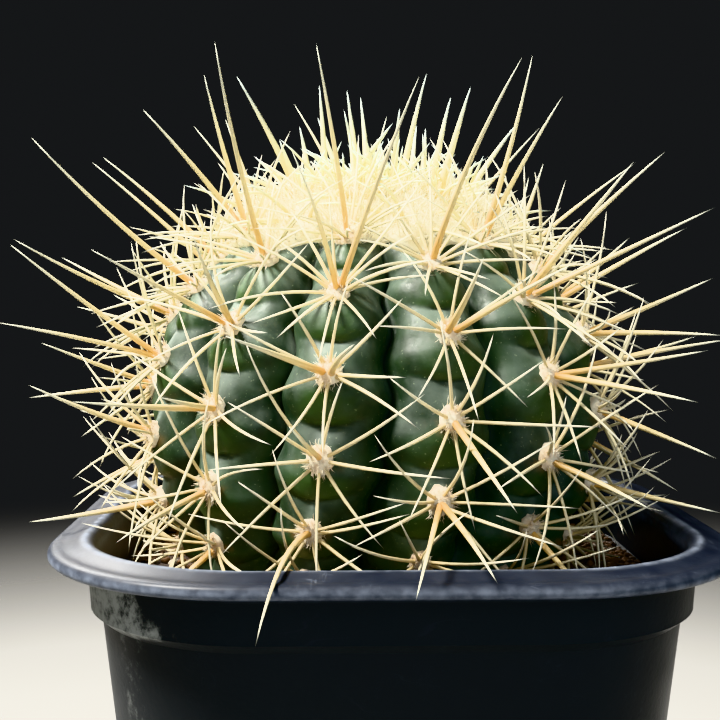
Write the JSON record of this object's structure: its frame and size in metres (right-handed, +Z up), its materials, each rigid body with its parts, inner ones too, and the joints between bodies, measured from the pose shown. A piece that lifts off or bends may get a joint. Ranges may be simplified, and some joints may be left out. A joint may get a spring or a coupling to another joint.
{
  "type": "potted golden barrel cactus",
  "caption": "Young golden barrel cactus, a ribbed green globe with long straw-coloured spines and a woolly crown, growing in soil in a square tapered plastic nursery pot",
  "frame": {"origin": "centre of the pot's underside, which is the face it stands on", "axes": "+Z up along the pot's axis; +X and +Y square to the pot's flat sides, with the side shown in the picture facing -Y"},
  "size_m": [0.1062, 0.1098, 0.143],
  "materials": {
    "pot": "satin, dusty",
    "soil": "matt, crumbly",
    "skin": "waxy satin",
    "wool": "woolly"
  },
  "bodies": {
    "root": {"pot": "pot", "soil": "soil", "cactus": "skin", "crown_wool": "wool"}
  },
  "joints": []
}
